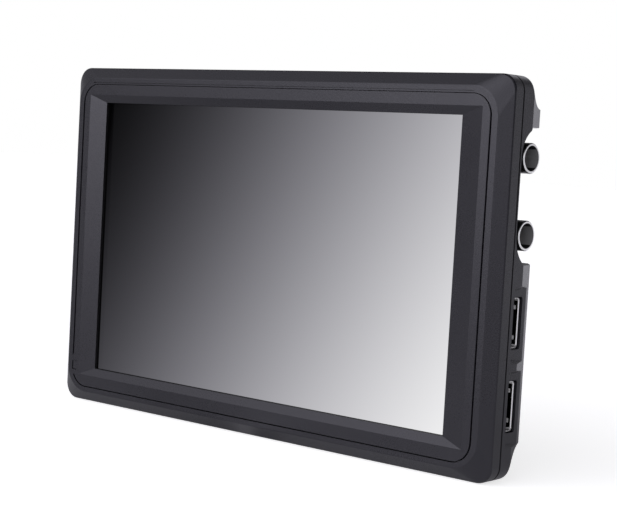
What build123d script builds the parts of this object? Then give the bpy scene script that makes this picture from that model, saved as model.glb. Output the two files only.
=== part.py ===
"""Seven-inch camera field monitor, as the separate pieces it comes apart into.

Millimetres. Everything is modelled from the centre of the screen, in the plane of the front
lip: x to the right, y backwards, z up. The pieces are saved standing on the bottom edge, with
the origin under the middle of the casing.
"""

import os

from build123d import *

# ------------------------------------------------------------------ driving dimensions
SCREEN_W, SCREEN_H = 150.8, 94.25        # picture of a 7-inch 16:10 panel
WIDTH, HEIGHT, DEPTH = 183.7, 118.7, 31.0
HALF_W, HALF_H = WIDTH / 2, HEIGHT / 2

LIP_W, LIP_H, LIP_R = 176.6, 111.3, 9.0  # flat lip around the front
CREASE_Y, CREASE_R = 3.0, 5.0            # where the front bevel meets the side wall
FRAME_BACK, COVER_FRONT = 7.16, 7.6      # the seam is the gap between them
SHOULDER_Y, SHOULDER_R = 13.0, 5.1       # rear edge of the flat side walls
PLATEAU_BACK = 24.0                      # rear face of the raised housing
PLATEAU_TOP, PLATEAU_BOTTOM = 49.9, -48.2
COVE_TOP_R, COVE_LOW_R = 6.3, 8.6
EAR_X, EAR_Y = 90.25, 19.2               # end of the gentle side slope
PLATEAU_X = 86.5                         # half width of the rear face
WALL, SEAM_R = 2.0, 0.12

BEZEL_X, BEZEL_TOP, BEZEL_BOTTOM, BEZEL_R = 85.65, 53.38, -53.76, 6.3
POCKET_X, POCKET_TOP, POCKET_BOTTOM, POCKET_R = 86.22, 53.55, -54.08, 6.8
BEZEL_BACK = 2.0
CATCH_LOW, CATCH_HIGH = -50.2, -43.1     # tab across the groove, with the catch's socket
RECESS_W, RECESS_H, RECESS_DEPTH = 165.8, 99.55, 1.06
GLASS_Y = 2.76                           # front of the screen glass

PANEL_W, PANEL_H = 160.0, 102.0          # glass, cell and backlight
GLASS_T = 0.5
CELL_BACK, FILMS_BACK, GUIDE_BACK = 4.36, 4.86, 6.46
GUIDE_W, GUIDE_H, GUIDE_RISE = 156.0, 97.0, 1.4   # raised to leave room for the light bar
TRAY_BACK, TRAY_SHEET = 7.26, 0.4
FLEX_X, FLEX_T, FLEX_LOW = 15.0, 0.15, -52.35
BOARD_Y, BOARD_BACK = 7.9, 9.5           # main board, parts on its rear face
BOARD_X, BOARD_Z, BOARD_EAR = 76.0, 46.5, 88.4
SINK_X, SINK_Z = -54.0, 6.0              # processor and its heat sink
CHIP_T, PAD_BACK, SINK_BASE, SINK_BACK = 1.4, 11.4, 13.2, 21.2
FINS, FIN_T, FIN_PITCH = 9, 1.2, 3.85
KEY_LOW, KEY_HIGH = 52.4, 53.4           # board under the top controls

CASE_SCREWS = [(x, z) for x in (-84.5, 84.5) for z in (-55, 55)] + [(-40, -55), (40, -55)]
CASE_SEAT = 10.4                         # where the case screws' heads sit
INSERT_R, INSERT_L = 2.1, 3.4
PANEL_SCREWS = [(x, z) for x in (-60, 60) for z in (-54.3, 54.3)]
BOARD_SCREWS = [(x, z) for x in (-66, 66) for z in (-41, 41)]
STAND_INSERTS = [(x, z) for x in (-37.5, 37.5) for z in (-37.5, 37.5)]
PLATE_SCREWS = [(x, z) for x in (-13, 13) for z in (-18, 22)]

NOTCH_X, NOTCH_Y = 79.5, 8.2             # bay cut in the right side for the coaxial jacks
NOTCH_LOW, NOTCH_HIGH = 4.45, 44.6
NOTCH_LOW_ARC = (13.2, 10.0)             # height of the centre, and radius, of its lower end
NOTCH_HIGH_ARC = (35.7, 9.0)
COAX_Y, COAX_END = 15.3, 90.8
COAX_HEIGHTS = {"coax_in": 35.6, "coax_out": 13.0}
COAX_R, COAX_BORE, COAX_FLANGE, COAX_NECK = 4.5, 3.76, 6.2, 4.4
CORE_R, PIN_R, PIN_BORE = 2.4, 1.1, 0.65 # insulator, centre contact and its socket

PAD_X, PAD_Y = 90.75, 9.45               # sunk pads around the flat sockets
PADS = [(-24.05, -2.05), (-48.8, -26.75)]   # lower and upper edge of each, at its front
PAD_FAN = 0.12                           # how fast the edges part towards the rear
AV_HEIGHTS = {"av_in": -12.53, "av_out": -37.18}
AV_W, AV_T, AV_RIM = 14.8, 5.6, 90.0     # full-size digital video receptacle
AV_CLEAR, AV_SHEET, AV_LEAD = 0.35, 0.4, 0.25   # gap, sheet, flare of the mouth
PORT_Z, PORT_W, PORT_T = -12.8, 13.2, 5.6   # service port, left side
AV_SHAPE = dict(width=AV_W, thick=AV_T, rim=AV_RIM, depth=11.5, bevel=1.6)
PORT_SHAPE = dict(width=PORT_W, thick=PORT_T, rim=AV_RIM, depth=13.5, bevel=0.5)
JACK_Y, PHONES_Z, PHONES_R, SUPPLY_Z, SUPPLY_R = 13.6, -32.0, 3.1, -41.0, 3.9

POD_X0, POD_X1, POD_BACK = -76.0, 68.0, 20.0   # housing of the top controls
BUTTON_Y, BUTTON_L, BUTTON_W = 13.4, 9.0, 4.6
BUTTONS = {"power_button": -66, "input_button": -48, "function_button_1": -30,
           "function_button_2": -16, "function_button_3": -2, "function_button_4": 12}
BUTTON_TRAVEL, BUTTON_GAP = 0.6, 0.15
TOP_INSIDE = HALF_H - 1.95
DOME_H = 1.35                            # top of a key switch above its board
LED_X, LED_R = -57.0, 1.0

WHEEL_X, WHEEL_Y, WHEEL_Z, WHEEL_R, WHEEL_W = 54.0, 15.2, 52.9, 6.3, 6.4
WHEEL_GROOVES, GROOVE_R, AXLE_R = 30, 0.28, 1.0
CRADLE_X, CRADLE_LOW, CRADLE_BASE = 7.0, 44.5, 45.8
SHELF_TOP = 41.0

FOOT_X, FOOT_BACK, FOOT_Y = 24.0, 22.0, 14.2   # bottom boss around the tripod thread
TRIPOD_R, TRIPOD_OUT, TRIPOD_LENGTH = 3.175, 4.75, 8.5
STAND_OUT, STAND_R, STAND_L = 2.9, 2.0, 6.5    # M4 inserts behind
VENT_X, VENT_COUNT, VENT_PITCH, VENT_L, VENT_W = 60.0, 11, 4.4, 24.0, 2.0

PLATE_X, PLATE_LOW, PLATE_HIGH, PLATE_FACE = 21.0, -38.0, 42.0, 28.5
PLATE_SEAT = 26.4                        # where the plate's screw heads sit
LATCH_X, LATCH_LOW, LATCH_HIGH, LATCH_FLANGE = 8.0, 35.3, 40.7, 26.6
LATCH_Z = (LATCH_LOW + LATCH_HIGH) / 2
CONTACTS_LOW, CONTACTS_HIGH = -36.5, -29.5
CONTACTS_X = (-9.5, 0, 9.5)


# ------------------------------------------------------------------ helpers
def upright(y):
    """A drawing plane across the monitor: its own x and y are the monitor's x and z."""
    return Plane(origin=(0, y, 0), x_dir=(1, 0, 0), z_dir=(0, -1, 0))


def plate(outline, front, back):
    """An outline drawn from the front, thickened from one depth to another."""
    return extrude(upright(back) * outline, amount=back - front)


def block(x, y, z):
    """A box given as three pairs of limits."""
    middle = [(low + high) / 2 for low, high in (x, y, z)]
    return Pos(*middle) * Box(*[abs(high - low) for low, high in (x, y, z)])


def rod(radius, start, end):
    """A round bar from one point to another."""
    line = Vector(*end) - Vector(*start)
    base = (Align.CENTER, Align.CENTER, Align.MIN)
    return Plane(origin=start, z_dir=line) * Cylinder(radius, line.length, align=base)


def side_prism(points, x0, x1):
    """A side-view outline, in y and z, extended from x0 to x1."""
    side = Plane(origin=(x0, 0, 0), x_dir=(0, 1, 0), z_dir=(1, 0, 0))
    return extrude(side * make_face(Polyline(*points, close=True)), amount=x1 - x0)


def plan_prism(points, z0, z1):
    """An outline seen from above, in x and y, extended from z0 to z1."""
    return extrude(Plane.XY.offset(z0) * make_face(Polyline(*points, close=True)), amount=z1 - z0)


def rounded(x, low, high, radius):
    """A rounded rectangle, symmetric in x, with its own lower and upper edge."""
    return Pos(0, (low + high) / 2) * RectangleRounded(2 * x, high - low, radius)


def rim(shape, outline, y):
    """The edges of a shape that follow an outline drawn at depth y."""
    border = (upright(y) * outline).wires()[0]
    return [edge for edge in shape.edges()
            if all(border.distance_to(edge @ t) < 0.02 for t in (0, 0.5, 1))]


def screw(x, z, seat, head_r, head_h, shank_r, length, forwards=True):
    """A pan-head machine screw along y, its head behind (or in front of) the seat."""
    way = 1 if forwards else -1
    head = rod(head_r, (x, seat, z), (x, seat + way * head_h, z))
    shank = rod(shank_r, (x, seat, z), (x, seat - way * length, z))
    socket = rod(head_r * 0.45, (x, seat + way * head_h * 0.35, z), (x, seat + way * (head_h + 1), z))
    return head + shank - socket


def save(name, *solids):
    """Write one node, moved from the screen's centre to the standing position."""
    standing = Location((0, -DEPTH / 2, HALF_H))
    moved = [standing * solid for shape in solids for solid in shape.solids()]
    export_step(Compound(moved), f"parts/{name}.step")


# ------------------------------------------------------------------ front casing
def front_frame():
    lip = upright(0) * RectangleRounded(LIP_W, LIP_H, LIP_R)
    crease = upright(CREASE_Y) * RectangleRounded(WIDTH, HEIGHT, CREASE_R)
    frame = loft([lip, crease], ruled=True)
    frame += plate(RectangleRounded(WIDTH, HEIGHT, CREASE_R), CREASE_Y, FRAME_BACK)
    frame -= plate(rounded(POCKET_X, POCKET_BOTTOM, POCKET_TOP, POCKET_R), -1, BEZEL_BACK)
    frame -= plate(RectangleRounded(PANEL_W + 3, PANEL_H + 3.2, 2), 0, FRAME_BACK + 1)
    # hollow behind the bevel, between the outer wall and the wall around the panel
    hollow = RectangleRounded(WIDTH - 2 * WALL, HEIGHT - 2 * WALL, 4)
    hollow -= RectangleRounded(PANEL_W + 7, PANEL_H + 6.4, 3)
    hollow = plate(hollow, 4.2, FRAME_BACK + 1)
    for x, z in CASE_SCREWS:
        hollow -= rod(4.2, (x, 3, z), (x, 9, z))
    for x, z in PANEL_SCREWS:
        hollow -= rod(3.0, (x, 3, z), (x, 9, z))
    frame -= hollow
    for x, z in CASE_SCREWS:
        frame -= rod(INSERT_R, (x, FRAME_BACK - INSERT_L, z), (x, FRAME_BACK + 1, z))
    for x, z in PANEL_SCREWS:
        frame -= rod(0.82, (x, 4.2, z), (x, FRAME_BACK + 1, z))
    # fine second line above the bezel, where a hood's lip hooks in
    frame -= block((-81.5, 79.5), (-1, 0.5), (53.95, 54.2))
    frame = fillet(rim(frame, RectangleRounded(WIDTH, HEIGHT, CREASE_R), CREASE_Y), 0.8)
    frame = fillet(rim(frame, RectangleRounded(LIP_W, LIP_H, LIP_R), 0), 0.6)
    return fillet(rim(frame, RectangleRounded(WIDTH, HEIGHT, CREASE_R), FRAME_BACK), SEAM_R)


def frame_inserts():
    """Brass inserts that take the case screws."""
    return [rod(INSERT_R, (x, FRAME_BACK - INSERT_L, z), (x, FRAME_BACK, z))
            - rod(1.5, (x, 0, z), (x, 9, z)) for x, z in CASE_SCREWS]


def screen_bezel():
    bezel = plate(rounded(BEZEL_X, BEZEL_BOTTOM, BEZEL_TOP, BEZEL_R), 0, BEZEL_BACK)
    # tab across the groove at the lower left, with the small socket of a hood's catch
    tab = block((-POCKET_X, -BEZEL_X + 1), (0, BEZEL_BACK), (CATCH_LOW, CATCH_HIGH))
    pocket = rounded(POCKET_X - 0.03, POCKET_BOTTOM + 0.03, POCKET_TOP, POCKET_R)
    bezel += tab & plate(pocket, 0, BEZEL_BACK)
    catch = block((-POCKET_X - 1, -83.9), (-1, 0.9), (-48.55, -45.3))
    bezel -= catch - block((-POCKET_X + 0.45, -83.9), (0.05, 0.9), (-48.25, -45.42))
    outer = upright(0) * Rectangle(RECESS_W, RECESS_H)
    inner = upright(RECESS_DEPTH) * Rectangle(SCREEN_W, SCREEN_H)
    bezel -= loft([outer, inner], ruled=True)
    bezel -= plate(Rectangle(SCREEN_W, SCREEN_H), 0.5, BEZEL_BACK + 1)
    bezel = fillet(rim(bezel, Rectangle(RECESS_W, RECESS_H), 0), 0.3)
    return fillet(rim(bezel, rounded(BEZEL_X, BEZEL_BOTTOM, BEZEL_TOP, BEZEL_R), 0), 0.15)


# ------------------------------------------------------------------ display
def panel_sheet(width, height, front, back):
    return plate(Rectangle(width, height), front, back)


def panel_tray():
    """Stamped steel tray that holds the backlight, with four screw ears."""
    across, high = PANEL_W + 1, PANEL_H + 1
    tray = plate(Rectangle(across, high), CELL_BACK, TRAY_BACK)
    inner = Rectangle(across - 2 * TRAY_SHEET, high - 2 * TRAY_SHEET)
    tray -= plate(inner, 0, TRAY_BACK - TRAY_SHEET)
    tray -= block((-FLEX_X - 0.5, FLEX_X + 0.5), (3, 6), (FLEX_LOW - 0.65, -50))
    for x, z in PANEL_SCREWS:
        edge = 51 if z > 0 else -51
        ear = block((x - 3, x + 3), (FRAME_BACK, FRAME_BACK + TRAY_SHEET), sorted((edge, z * 1.04)))
        tray += ear - rod(1.0, (x, 5, z), (x, 9, z))
    return tray


def panel_flex():
    """Flexible circuit from the lower edge of the cell round to the board."""
    across, turn, end = (-FLEX_X, FLEX_X), BOARD_Y - 0.2, -45.0
    strip = block(across, (CELL_BACK, CELL_BACK + FLEX_T), (FLEX_LOW, -50.6))
    strip += block(across, (CELL_BACK, turn), (FLEX_LOW, FLEX_LOW + FLEX_T))
    strip += block(across, (turn - FLEX_T, turn), (FLEX_LOW, end))
    strip += block(across, (turn - FLEX_T, BOARD_Y), (end - 1.2, end))
    return strip


# ------------------------------------------------------------------ boards
def main_board():
    """Board behind the screen, wider below for the sockets, cut out round the wheel."""
    board = block((-BOARD_X, BOARD_X + 1), (BOARD_Y, BOARD_BACK), (-BOARD_Z, BOARD_Z))
    board += block((-BOARD_EAR, BOARD_EAR), (BOARD_Y, BOARD_BACK), (-BOARD_Z, 1.8))
    board -= block((WHEEL_X - 11, WHEEL_X + 11), (0, 20), (38, 60))
    for x, z in BOARD_SCREWS:
        board -= rod(1.4, (x, 5, z), (x, 12, z))
    return board


def board_chips():
    """Processor, memory, converters and regulators on the board's rear face."""
    places = [(SINK_X, SINK_Z, 20, 20, CHIP_T), (-24, 22, 12, 10, 1.2), (-6, 22, 12, 10, 1.2),
              (30, 24, 14, 14, 1.4), (36, -6, 10, 10, 1.2), (60, -12, 9, 9, 1.2),
              (60, -34, 9, 9, 1.2), (-30, -24, 8, 12, 2.4), (-6, -30, 10, 6, 2.0),
              (20, -30, 12, 8, 2.4), (-62, -22, 12, 10, 4.0)]
    return [block((x - w / 2, x + w / 2), (BOARD_BACK, BOARD_BACK + t), (z - h / 2, z + h / 2))
            for x, z, w, h, t in places]


def heat_sink():
    """Finned aluminium block on the processor, behind the left vents."""
    low_x, high_x = SINK_X - 16, SINK_X + 16
    low_z, high_z = SINK_Z - 20, SINK_Z + 20
    sink = block((low_x, high_x), (PAD_BACK, SINK_BASE), (low_z, high_z))
    for i in range(FINS):
        x = low_x + i * FIN_PITCH
        sink += block((x, x + FIN_T), (SINK_BASE, SINK_BACK), (low_z, high_z))
    return sink


def key_board():
    return block((-73.5, 24), (BUTTON_Y - 3, BUTTON_Y + 3.4), (KEY_LOW, KEY_HIGH))


def key_switches():
    """Low tactile switches, one under each button."""
    switches = []
    for x in BUTTONS.values():
        body = block((x - 2.2, x + 2.2), (BUTTON_Y - 1.7, BUTTON_Y + 1.7), (KEY_HIGH, KEY_HIGH + 1))
        switches.append(body + rod(0.9, (x, BUTTON_Y, KEY_HIGH), (x, BUTTON_Y, KEY_HIGH + DOME_H)))
    return switches


def key_cable():
    """Flat cable from the main board up to the underside of the key board."""
    cable = block((-12, -2), (BOARD_BACK, BOARD_BACK + FLEX_T), (43, KEY_LOW))
    return cable + block((-12, -2), (BOARD_BACK, 13), (KEY_LOW - FLEX_T, KEY_LOW))


# ------------------------------------------------------------------ rear cover
def bevel_line(distance):
    """Two points of the wheel bevel's line, at a distance out from the wheel's axle."""
    out_y, out_z = 0.6617, 0.7504
    y, z = WHEEL_Y + distance * out_y, WHEEL_Z + distance * out_z
    return [(y - 20 * out_z, z + 20 * out_y), (y + 20 * out_z, z - 20 * out_y)]


def cover_outside():
    """The rear cover as one solid lump, before it is hollowed."""
    seam_face = upright(COVER_FRONT) * RectangleRounded(WIDTH, HEIGHT, CREASE_R)
    shoulder = upright(SHOULDER_Y) * RectangleRounded(WIDTH, HEIGHT, SHOULDER_R)
    shell = loft([seam_face, shoulder], ruled=True)

    # raised housing: coved above and below, gently sloped at both sides
    inside = SHOULDER_Y - 1.5
    top_z, low_z = PLATEAU_TOP + COVE_TOP_R, PLATEAU_BOTTOM - COVE_LOW_R
    top_y, low_y = SHOULDER_Y + COVE_TOP_R, SHOULDER_Y + COVE_LOW_R
    top = Line((inside, top_z), (SHOULDER_Y, top_z))
    top_cove = RadiusArc((SHOULDER_Y, top_z), (top_y, PLATEAU_TOP), -COVE_TOP_R)
    rear = Polyline((top_y, PLATEAU_TOP), (PLATEAU_BACK - 2, PLATEAU_TOP),
                    (PLATEAU_BACK, PLATEAU_TOP - 2), (PLATEAU_BACK, PLATEAU_BOTTOM + 2),
                    (PLATEAU_BACK - 2, PLATEAU_BOTTOM), (low_y, PLATEAU_BOTTOM))
    low_cove = RadiusArc((low_y, PLATEAU_BOTTOM), (SHOULDER_Y, low_z), -COVE_LOW_R)
    bottom = Polyline((SHOULDER_Y, low_z), (inside, low_z), (inside, top_z))
    lines = [top, top_cove, rear, low_cove, bottom]
    outline = make_face([edge for line in lines for edge in line.edges()])
    side = Plane(origin=(-HALF_W, 0, 0), x_dir=(0, 1, 0), z_dir=(1, 0, 0))
    plateau = extrude(side * outline, amount=WIDTH)
    plan = [(-HALF_W, inside), (-HALF_W, SHOULDER_Y), (-EAR_X, EAR_Y), (-PLATEAU_X, PLATEAU_BACK),
            (PLATEAU_X, PLATEAU_BACK), (EAR_X, EAR_Y), (HALF_W, SHOULDER_Y), (HALF_W, inside)]
    plateau = plateau & plan_prism(plan, -HALF_H, HALF_H)
    plateau = plateau & plate(RectangleRounded(WIDTH, HEIGHT, SHOULDER_R), inside, PLATEAU_BACK)
    shell += plateau

    # housing of the top controls, bevelled where the wheel stands out
    pod = [(POD_X0, inside), (POD_X0, POD_BACK - 3), (POD_X0 + 3, POD_BACK),
           (POD_X1 - 3, POD_BACK), (POD_X1, POD_BACK - 3), (POD_X1, inside)]
    shell += plan_prism(pod, PLATEAU_TOP - 2, HALF_H)
    bevel = bevel_line(4.4)
    shell -= side_prism([bevel[0], bevel[1], (40, 40), (40, 80)], WHEEL_X - 9, WHEEL_X + 9)

    # softened edges: seam, shoulder corners and the rear face
    shell = fillet(rim(shell, RectangleRounded(WIDTH, HEIGHT, CREASE_R), COVER_FRONT), SEAM_R)
    shoulder = rim(shell, RectangleRounded(WIDTH, HEIGHT, SHOULDER_R), SHOULDER_Y)
    shell = fillet([edge for edge in shoulder if abs(edge.center().Z) > 56.5 or edge.length < 3.5], 0.5)
    rear_face = shell.faces().sort_by(Axis.Y)[-1]
    shell = fillet(rear_face.edges(), 0.6)

    # boss around the tripod thread
    foot = [(-FOOT_X, inside), (-FOOT_X + 5, FOOT_BACK), (FOOT_X - 5, FOOT_BACK), (FOOT_X, inside)]
    shell += plan_prism(foot, -HALF_H, PLATEAU_BOTTOM + 2)
    return shell


def cover_inside():
    """The room inside the cover, with its bosses and guides left standing."""
    inside_x, ear_x, rear_x = HALF_W - 3, EAR_X - 3, PLATEAU_X - 1.9
    room = plate(RectangleRounded(2 * inside_x, HEIGHT - 3.9, 3.5), 0, SHOULDER_Y - 1.8)
    right = [(inside_x, 10), (inside_x, SHOULDER_Y), (ear_x, EAR_Y - 0.5), (rear_x, PLATEAU_BACK - WALL)]
    left = [(-x, y) for x, y in reversed(right)]
    room += plan_prism(right + left, PLATEAU_BOTTOM + WALL, PLATEAU_TOP - WALL)
    room += block((POD_X0 + 2, 40), (10, POD_BACK - WALL), (44, TOP_INSIDE))
    cut = bevel_line(3.1)
    bay = block((WHEEL_X - 9, WHEEL_X + 9), (6, POD_BACK - 1.6), (36, TOP_INSIDE))
    room += bay - side_prism([cut[0], cut[1], (40, 40), (40, 80)], WHEEL_X - 9, WHEEL_X + 9)

    # what stays solid inside
    room -= block((NOTCH_X - 1.8, HALF_W), (0, DEPTH), (NOTCH_LOW - 1.8, NOTCH_HIGH + 1.8))
    foot = [(-FOOT_X, 8.9), (-FOOT_X + 5, 30), (FOOT_X - 5, 30), (FOOT_X, 8.9)]
    room -= plan_prism(foot, -HALF_H, PLATEAU_BOTTOM + 1)
    for x, z in CASE_SCREWS:
        room -= rod(4.4, (x, 0, z), (x, 20, z))
    for x, z in BOARD_SCREWS:
        room -= rod(3.0, (x, BOARD_BACK, z), (x, 30, z))
    for x, z in STAND_INSERTS:
        room -= rod(4.8, (x, 16.5, z), (x, 30, z))
    for x, z in PLATE_SCREWS:
        room -= rod(2.6, (x, 17.5, z), (x, 30, z))
    for x0, x1 in ((-74, -72.5), (22.5, 26)):
        room -= block((x0, x1), (10.2, 18), (KEY_LOW - 1.6, KEY_LOW))
    # guides and shelf of the wheel cradle
    for way in (-1, 1):
        near, far = WHEEL_X + way * (CRADLE_X + 0.6), WHEEL_X + way * (CRADLE_X + 2.1)
        room -= block(sorted((near, far)), (10, 30), (42, 50))
    room -= block((WHEEL_X - 6, WHEEL_X + 6), (12.2, 30), (SHELF_TOP - 1.2, SHELF_TOP))
    return room


def notch():
    """Bay for the coaxial jacks, with big rounded ends, open to the side and to the rear."""
    open_y = PLATEAU_BACK + 10
    (low_z, low_r), (high_z, high_r) = NOTCH_LOW_ARC, NOTCH_HIGH_ARC
    low_rise = low_z - NOTCH_LOW
    low_end = NOTCH_Y + low_r - (low_r ** 2 - low_rise ** 2) ** 0.5
    high_end = low_end - 0.55                      # a short steep stretch ends the upper arc
    high_rise = (high_r ** 2 - (NOTCH_Y + high_r - high_end) ** 2) ** 0.5
    lower = RadiusArc((low_end, NOTCH_LOW), (NOTCH_Y, low_z), low_r)
    upper = RadiusArc((NOTCH_Y, high_z), (high_end, high_z + high_rise), high_r)
    face = Line((NOTCH_Y, low_z), (NOTCH_Y, high_z))
    rear = Polyline((high_end, high_z + high_rise), (low_end, NOTCH_HIGH), (open_y, NOTCH_HIGH),
                    (open_y, NOTCH_LOW), (low_end, NOTCH_LOW))
    outline = make_face(lower.edges() + face.edges() + upper.edges() + rear.edges())
    side = Plane(origin=(NOTCH_X, 0, 0), x_dir=(0, 1, 0), z_dir=(1, 0, 0))
    return extrude(side * outline, amount=20)


def pad(low, high, side):
    """Sunk pad on a side wall: sloped ends that part towards the rear, where it is open."""
    sink, beyond, rear = HALF_W - PAD_X, 2.0, 30.0
    spread = PAD_FAN * (rear - PAD_Y)
    sections = []
    for x, grow in ((PAD_X, -sink), (HALF_W + beyond, beyond)):
        wall = Plane(origin=(side * x, 0, 0), x_dir=(0, 1, 0), z_dir=(1, 0, 0))
        corners = [(PAD_Y, low - grow), (rear, low - grow - spread),
                   (rear, high + grow + spread), (PAD_Y, high + grow)]
        sections.append(wall * make_face(Polyline(*corners, close=True)))
    return loft(sections, ruled=True)


def socket_hole(z, width, thick, side):
    """Opening for a flat socket through a side wall."""
    middle = BOARD_BACK + thick / 2
    outline = RectangleRounded(thick + 2 * AV_CLEAR, width + 2 * AV_CLEAR, 0.9)
    outline = Pos(middle, z) * outline
    start = Plane(origin=(side * 85, 0, 0), x_dir=(0, 1, 0), z_dir=(1, 0, 0))
    return extrude(start * outline, amount=side * 9)


def pill(length, width, x, y, low, high):
    """A slot-shaped block with round ends, along x, between two heights."""
    outline = Pos(x, y) * SlotOverall(length, width)
    return extrude(Plane.XY.offset(low) * outline, amount=high - low)


def rear_cover():
    """Rear half of the casing, with every opening cut."""
    cover = cover_outside() - cover_inside()
    for x, z in CASE_SCREWS:                       # bosses reach the front frame
        cover += rod(3.4, (x, FRAME_BACK, z), (x, 9, z))
    cover -= notch()
    for z in COAX_HEIGHTS.values():
        cover -= rod(COAX_NECK + 0.1, (70, COAX_Y, z), (85, COAX_Y, z))
    for low, high in PADS:
        for side in (-1, 1):
            cover -= pad(low, high, side)
    for z in AV_HEIGHTS.values():
        cover -= socket_hole(z, AV_W, AV_T, 1)
    cover -= socket_hole(PORT_Z, PORT_W, PORT_T, -1)
    cover -= rod(PHONES_R + 0.2, (-95, JACK_Y, PHONES_Z), (-85, JACK_Y, PHONES_Z))
    cover -= rod(SUPPLY_R + 0.2, (-95, JACK_Y, SUPPLY_Z), (-85, JACK_Y, SUPPLY_Z))
    for x in BUTTONS.values():
        long, wide = BUTTON_L + 2 * BUTTON_GAP, BUTTON_W + 2 * BUTTON_GAP
        cover -= pill(long, wide, x, BUTTON_Y, TOP_INSIDE - 1, HALF_H + 1)
    cover -= rod(LED_R, (LED_X, BUTTON_Y, TOP_INSIDE - 1), (LED_X, BUTTON_Y, HALF_H + 1))
    half = WHEEL_W / 2 + 0.6
    start, end = (WHEEL_X - half, WHEEL_Y, WHEEL_Z), (WHEEL_X + half, WHEEL_Y, WHEEL_Z)
    cover -= rod(WHEEL_R + 0.7, start, end)
    for x, z in CASE_SCREWS:
        cover -= rod(2.9, (x, CASE_SEAT, z), (x, 40, z))
        cover -= rod(1.7, (x, 0, z), (x, 12, z))
    for x, z in BOARD_SCREWS:
        cover -= rod(1.02, (x, 5, z), (x, 18, z))
    for x, z in STAND_INSERTS:
        cover -= rod(STAND_OUT, (x, PLATEAU_BACK - STAND_L, z), (x, 30, z))
    for x, z in PLATE_SCREWS:
        cover -= rod(1.02, (x, 18.5, z), (x, 30, z))
    cover -= rod(TRIPOD_OUT, (0, FOOT_Y, -HALF_H - 1), (0, FOOT_Y, TRIPOD_LENGTH - HALF_H))
    for x in (-VENT_X, VENT_X):
        for i in range(VENT_COUNT):
            z = (i - (VENT_COUNT - 1) / 2) * VENT_PITCH
            cover -= plate(Pos(x, z) * SlotOverall(VENT_L, VENT_W), 20, 30)
    return cover


# ------------------------------------------------------------------ sockets
def coax_shell(z):
    """Bayonet jack: barrel with two lugs, flange on the bay wall, threaded neck."""
    wall = NOTCH_X
    shell = rod(COAX_R, (wall, COAX_Y, z), (COAX_END, COAX_Y, z))
    shell += rod(COAX_FLANGE, (wall, COAX_Y, z), (wall + 1.4, COAX_Y, z))
    shell += rod(COAX_NECK, (wall - 6, COAX_Y, z), (wall, COAX_Y, z))
    lug, reach = COAX_END - 5, 5.5
    shell += rod(1.0, (lug, COAX_Y - reach, z), (lug, COAX_Y + reach, z))
    shell = chamfer(shell.faces().sort_by(Axis.X)[-1].edges(), 0.3)
    shell -= rod(COAX_BORE, (wall + 2.5, COAX_Y, z), (COAX_END + 1, COAX_Y, z))
    return shell - rod(CORE_R, (wall - 7, COAX_Y, z), (wall + 5, COAX_Y, z))


def coax_insulator(z):
    body = rod(CORE_R, (NOTCH_X - 6, COAX_Y, z), (COAX_END - 6, COAX_Y, z))
    return body - rod(PIN_R, (NOTCH_X - 7, COAX_Y, z), (COAX_END, COAX_Y, z))


def coax_contact(z):
    """Centre socket, with a tail that turns down to the board."""
    pin = rod(PIN_R, (NOTCH_X - 6, COAX_Y, z), (COAX_END - 5.4, COAX_Y, z))
    pin -= rod(PIN_BORE, (COAX_END - 9, COAX_Y, z), (COAX_END, COAX_Y, z))
    tail = rod(0.6, (NOTCH_X - 7.5, COAX_Y, z), (NOTCH_X - 6, COAX_Y, z))
    leg = block((NOTCH_X - 8.4, NOTCH_X - 7.4), (BOARD_BACK, COAX_Y + 0.8), (z - 0.8, z + 0.8))
    return pin + tail + leg


def coax_nut(z):
    """Thin hexagon nut on the neck, inside the bay wall."""
    across_flats, thick = 11.0, 2.2
    back = NOTCH_X - 1.8
    hexagon = RegularPolygon(across_flats / 2, 6, major_radius=False, rotation=30)
    side = Plane(origin=(back - thick, COAX_Y, z), x_dir=(0, 1, 0), z_dir=(1, 0, 0))
    nut = extrude(side * hexagon, amount=thick)
    return nut - rod(COAX_NECK, (60, COAX_Y, z), (90, COAX_Y, z))


def receptacle(z, width, thick, rim, depth, bevel, side):
    """Folded metal shell of a flat socket on the board, its mouth facing outwards.

    The wide side is to the rear; the front corners are bevelled. Two spring fingers press
    in from the rear wall."""
    front, back = BOARD_BACK, BOARD_BACK + thick
    half = width / 2
    outline = [(front, z - half + bevel), (front, z + half - bevel), (front + bevel, z + half),
               (back, z + half), (back, z - half), (front + bevel, z - half)]
    start, end = sorted((side * (rim - depth), side * rim))
    body = side_prism(outline, start, end)
    body = fillet(body.edges().filter_by(Axis.X).sort_by(Axis.Y)[-2:], 1.0)
    corner = 0.15                                  # keeps the sheet's thickness round a bevel
    low, high, near, far = z - half + AV_SHEET, z + half - AV_SHEET, front + AV_SHEET, back - AV_SHEET
    inner = [(near, z - half + bevel + corner), (near, z + half - bevel - corner),
             (front + bevel + corner, high), (far, high), (far, low), (front + bevel + corner, low)]
    hollow = side_prism(inner, start - 1, end + 1)
    body -= fillet(hollow.edges().filter_by(Axis.X).sort_by(Axis.Y)[-2:], 0.7)
    reach = sorted((side * (rim - 4.6), side * (rim - 0.95)))
    mouth = body.faces().sort_by(Axis.X)[-1 if side > 0 else 0]
    body = chamfer(mouth.inner_wires()[0].edges(), AV_LEAD)
    for middle in (z - 0.6 * half, z + 0.6 * half):
        body += block(reach, (far - 0.3, far + 0.1), (middle - 0.6, middle + 0.6))
    return body


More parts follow.
